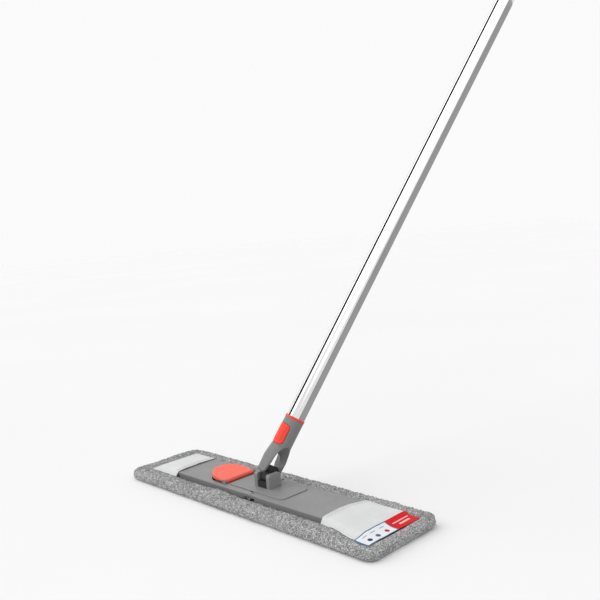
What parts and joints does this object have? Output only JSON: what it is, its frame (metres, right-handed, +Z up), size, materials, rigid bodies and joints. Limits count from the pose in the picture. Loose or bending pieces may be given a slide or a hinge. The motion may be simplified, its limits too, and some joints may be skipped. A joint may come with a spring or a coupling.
{
  "type": "flat mop",
  "caption": "Flat floor mop: terry pad with pockets, folding plate with foot pedal, two-axis joint and telescopic pole.",
  "frame": {"origin": "centre of the pad on the floor face", "axes": "+X along the pad toward the end with the label, +Y the side the pole leans to, +Z up"},
  "size_m": [0.432, 0.5436, 0.8041],
  "materials": {
    "terry": "looped terry pile, matt",
    "backing_cloth": "woven",
    "pocket_cloth": "smooth woven, light grey",
    "hem_tape": "folded woven tape",
    "label_cloth": "printed satin tape, red and white",
    "grey_plastic": "moulded, fine grain",
    "dark_plastic": "moulded, fine grain",
    "orange_plastic": "moulded, satin",
    "steel": "bright drawn",
    "tube_metal": "polished tube",
    "soft_grip": "soft, matt"
  },
  "bodies": {
    "pad": {"pad_pile": "terry", "pad_backing": "backing_cloth", "left_pocket": "pocket_cloth", "right_pocket": "pocket_cloth", "left_hem": "hem_tape", "right_hem": "hem_tape", "care_label": "label_cloth"},
    "hub": {"joint_base": "grey_plastic", "fold_pins": "steel", "lower_axle": "steel", "joint_insert": "dark_plastic"},
    "left_plate": {"left_wing": "grey_plastic", "pedal_pin": "steel", "pedal_springs": "steel"},
    "right_plate": {"right_wing": "grey_plastic"},
    "pedal": {"foot_pedal": "orange_plastic"},
    "latch": {"latch_slider": "dark_plastic"},
    "swivel": {"spider": "dark_plastic", "upper_axle": "steel"},
    "pole": {"yoke": "grey_plastic", "front_axle_cap": "dark_plastic", "back_axle_cap": "dark_plastic", "socket_ring": "orange_plastic", "lower_tube": "tube_metal", "tube_plug": "dark_plastic", "collar_neck": "dark_plastic", "button_spring": "steel"},
    "button": {"release_button": "orange_plastic"},
    "collar": {"lock_collar": "grey_plastic"},
    "inner_pole": {"upper_tube": "tube_metal", "guide_plug": "dark_plastic", "grip": "soft_grip", "hanger_cap": "orange_plastic"}
  },
  "joints": [
    {"name": "frame_lift", "type": "slide", "parent": "pad", "child": "hub", "axis": [0, 0, 1], "range_m": [0, 0.2], "deforming": ["left_pocket", "right_pocket", "left_hem", "right_hem", "care_label"]},
    {"name": "left_fold", "type": "hinge", "parent": "hub", "child": "left_plate", "pos_m": [0.008, 0, 0.0139], "axis": [0, -1, 0], "range_deg": [0, 57.5]},
    {"name": "right_fold", "type": "hinge", "parent": "hub", "child": "right_plate", "pos_m": [0.008, 0, 0.0139], "axis": [0, 1, 0], "range_deg": [0, 57.5]},
    {"name": "pedal_press", "type": "hinge", "parent": "left_plate", "child": "pedal", "pos_m": [-0.046, 0, 0.0196], "axis": [0, -1, 0], "range_deg": [0, 5.5], "stiffness_Nm_per_rad": 1.2, "springref_deg": -6.88, "deforming": ["pedal_springs"]},
    {"name": "latch_slide", "type": "slide", "parent": "left_plate", "child": "latch", "axis": [-1, 0, 0], "range_m": [0, 0.0032]},
    {"name": "joint_pitch", "type": "hinge", "parent": "hub", "child": "swivel", "pos_m": [0.008, 0, 0.0285], "axis": [1, 0, 0], "range_deg": [-22, 86]},
    {"name": "joint_roll", "type": "hinge", "parent": "swivel", "child": "pole", "pos_m": [0.008, 0.00556, 0.03741], "axis": [0, 0.848, -0.5299], "range_deg": [-72, 48]},
    {"name": "release_press", "type": "slide", "parent": "pole", "child": "button", "axis": [0, 0.848, -0.5299], "range_m": [0, 0.002], "stiffness_N_per_m": 1500, "springref_m": -0.003, "deforming": ["button_spring"]},
    {"name": "collar_turn", "type": "hinge", "parent": "pole", "child": "collar", "pos_m": [0.16506, 0.37792, 0.63329], "axis": [0.2181, 0.5172, 0.8276], "range_deg": [0, 90]},
    {"name": "pole_extend", "type": "slide", "parent": "pole", "child": "inner_pole", "axis": [0.2181, 0.5172, 0.8276], "range_m": [0, 0.5]}
  ],
  "couplings": [
    {"joint": "left_fold", "follows": "frame_lift", "rad_per_m": 5},
    {"joint": "right_fold", "follows": "frame_lift", "rad_per_m": 5},
    {"joint": "latch_slide", "follows": "pedal_press", "m_per_rad": 0.031252}
  ]
}
